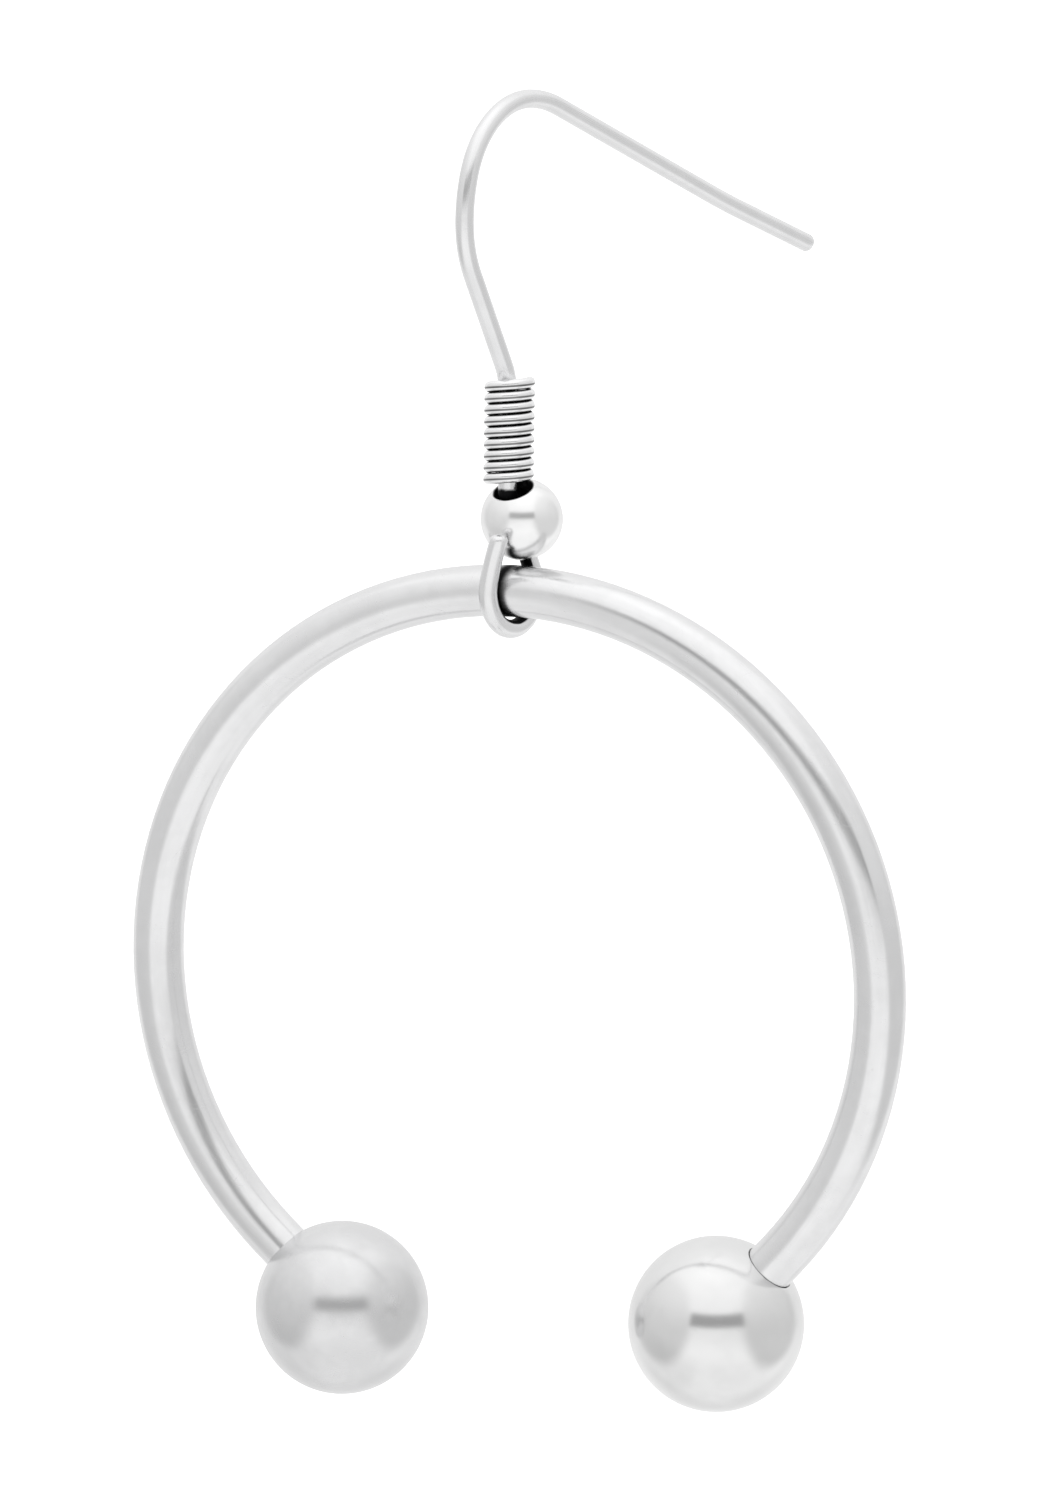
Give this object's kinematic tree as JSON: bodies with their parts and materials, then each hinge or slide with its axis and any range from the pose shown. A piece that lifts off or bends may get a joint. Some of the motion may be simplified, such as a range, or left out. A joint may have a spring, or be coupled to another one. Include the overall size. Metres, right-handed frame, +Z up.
{
  "type": "circular barbell drop earring on a fish-hook ear wire",
  "caption": "Drop earring: a horseshoe barbell with ball ends hangs in the eye of a fish-hook ear wire that carries a wound coil and a drilled bead.",
  "frame": {"origin": "underside of the ear wire's top bend, at the wire's highest point, where the earring hangs", "axes": "+Z up, +X along the barbell's plane to the right ball's side, +Y towards the back, where the hook's long arm runs"},
  "size_m": [0.0314, 0.0221, 0.0502],
  "materials": {
    "wire_steel": "drawn steel wire, polished, with a soft satin sheen",
    "coil_steel": "polished steel wire",
    "bead_steel": "mirror-polished steel",
    "bar_steel": "mirror-polished steel",
    "ball_steel": "mirror-polished steel"
  },
  "bodies": {
    "ear_wire_assembly": {"ear_wire": "wire_steel", "coil": "coil_steel", "bead": "bead_steel"},
    "barbell": {"barbell_bar": "bar_steel", "ball_left": "ball_steel", "ball_right": "ball_steel"}
  },
  "joints": [
    {"name": "drop_swing", "type": "hinge", "parent": "ear_wire_assembly", "child": "barbell", "pos_m": [-0.00024, -0.00091, -0.01805], "axis": [1, 0, 0], "range_deg": [-90, 90]}
  ]
}
